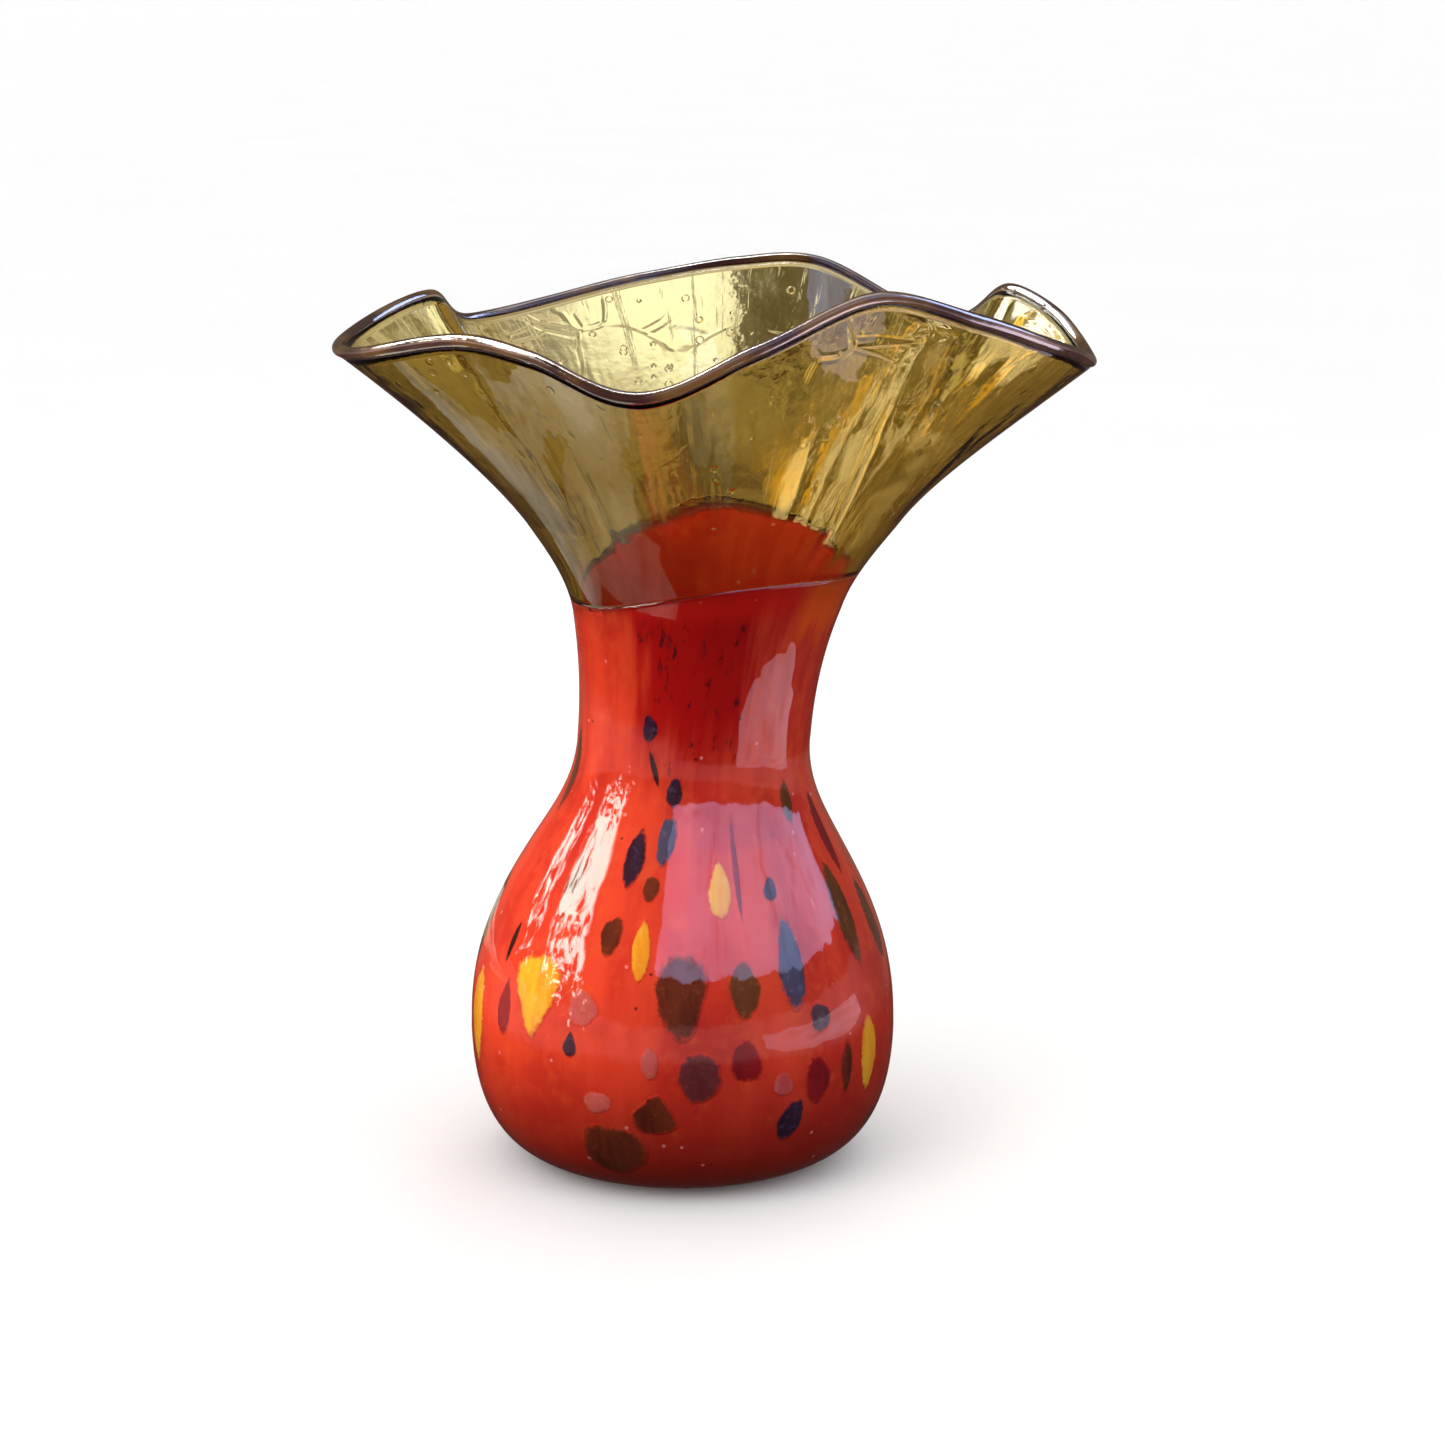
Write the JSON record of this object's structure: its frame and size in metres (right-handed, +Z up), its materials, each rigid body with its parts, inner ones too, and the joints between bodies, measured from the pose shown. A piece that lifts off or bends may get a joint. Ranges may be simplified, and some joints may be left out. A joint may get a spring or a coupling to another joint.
{
  "type": "vase",
  "caption": "Hand-blown glass vase with a round chip-flecked orange-red body, a waisted neck and a wide ruffled amber mouth with a dark wrapped lip.",
  "frame": {"origin": "centre of the foot's underside, on the surface the vase stands on", "axes": "+Z up; the front faces -Y and +X is to the right as seen from the front"},
  "size_m": [0.2172, 0.2032, 0.2638],
  "materials": {
    "amber_glass": "clear, polished by the fire",
    "lip_glass": "dark, fire polished",
    "clear_glass": "clear, glossy",
    "orange_red_glass": "opaque colour under clear glass",
    "navy_glass": "opaque colour under clear glass",
    "blue_glass": "opaque colour under clear glass",
    "brown_glass": "opaque colour under clear glass",
    "olive_glass": "opaque colour under clear glass",
    "yellow_glass": "opaque colour under clear glass",
    "crimson_glass": "opaque colour under clear glass",
    "pink_glass": "opaque colour under clear glass",
    "mauve_glass": "opaque colour under clear glass",
    "black_glass": "opaque colour under clear glass"
  },
  "bodies": {
    "root": {"amber_mouth": "amber_glass", "black_chip_01": "black_glass", "black_chip_02": "black_glass", "blue_chip_01": "blue_glass", "blue_chip_02": "blue_glass", "blue_chip_03": "blue_glass", "brown_chip_01": "brown_glass", "brown_chip_02": "brown_glass", "brown_chip_03": "brown_glass", "brown_chip_04": "brown_glass", "brown_chip_05": "brown_glass", "brown_chip_06": "brown_glass", "brown_chip_07": "brown_glass", "brown_chip_08": "brown_glass", "brown_chip_09": "brown_glass", "brown_chip_10": "brown_glass", "brown_chip_11": "brown_glass", "clear_casing": "clear_glass", "crimson_chip_01": "crimson_glass", "crimson_chip_02": "crimson_glass", "crimson_chip_03": "crimson_glass", "crimson_chip_04": "crimson_glass", "crimson_chip_05": "crimson_glass", "crimson_chip_06": "crimson_glass", "crimson_chip_07": "crimson_glass", "lip_wrap": "lip_glass", "mauve_chip_01": "mauve_glass", "mauve_chip_02": "mauve_glass", "navy_chip_01": "navy_glass", "navy_chip_02": "navy_glass", "navy_chip_03": "navy_glass", "navy_chip_04": "navy_glass", "navy_chip_05": "navy_glass", "navy_chip_06": "navy_glass", "navy_chip_07": "navy_glass", "navy_chip_08": "navy_glass", "navy_chip_09": "navy_glass", "olive_chip_01": "olive_glass", "olive_chip_02": "olive_glass", "olive_chip_03": "olive_glass", "olive_chip_04": "olive_glass", "olive_chip_05": "olive_glass", "olive_chip_06": "olive_glass", "olive_chip_07": "olive_glass", "olive_chip_08": "olive_glass", "orange_red_core": "orange_red_glass", "pink_chip_01": "pink_glass", "pink_chip_02": "pink_glass", "pink_chip_03": "pink_glass", "pink_chip_04": "pink_glass", "pink_chip_05": "pink_glass", "yellow_chip_01": "yellow_glass", "yellow_chip_02": "yellow_glass", "yellow_chip_03": "yellow_glass", "yellow_chip_04": "yellow_glass", "yellow_chip_05": "yellow_glass", "yellow_chip_06": "yellow_glass", "yellow_chip_07": "yellow_glass"}
  },
  "joints": []
}
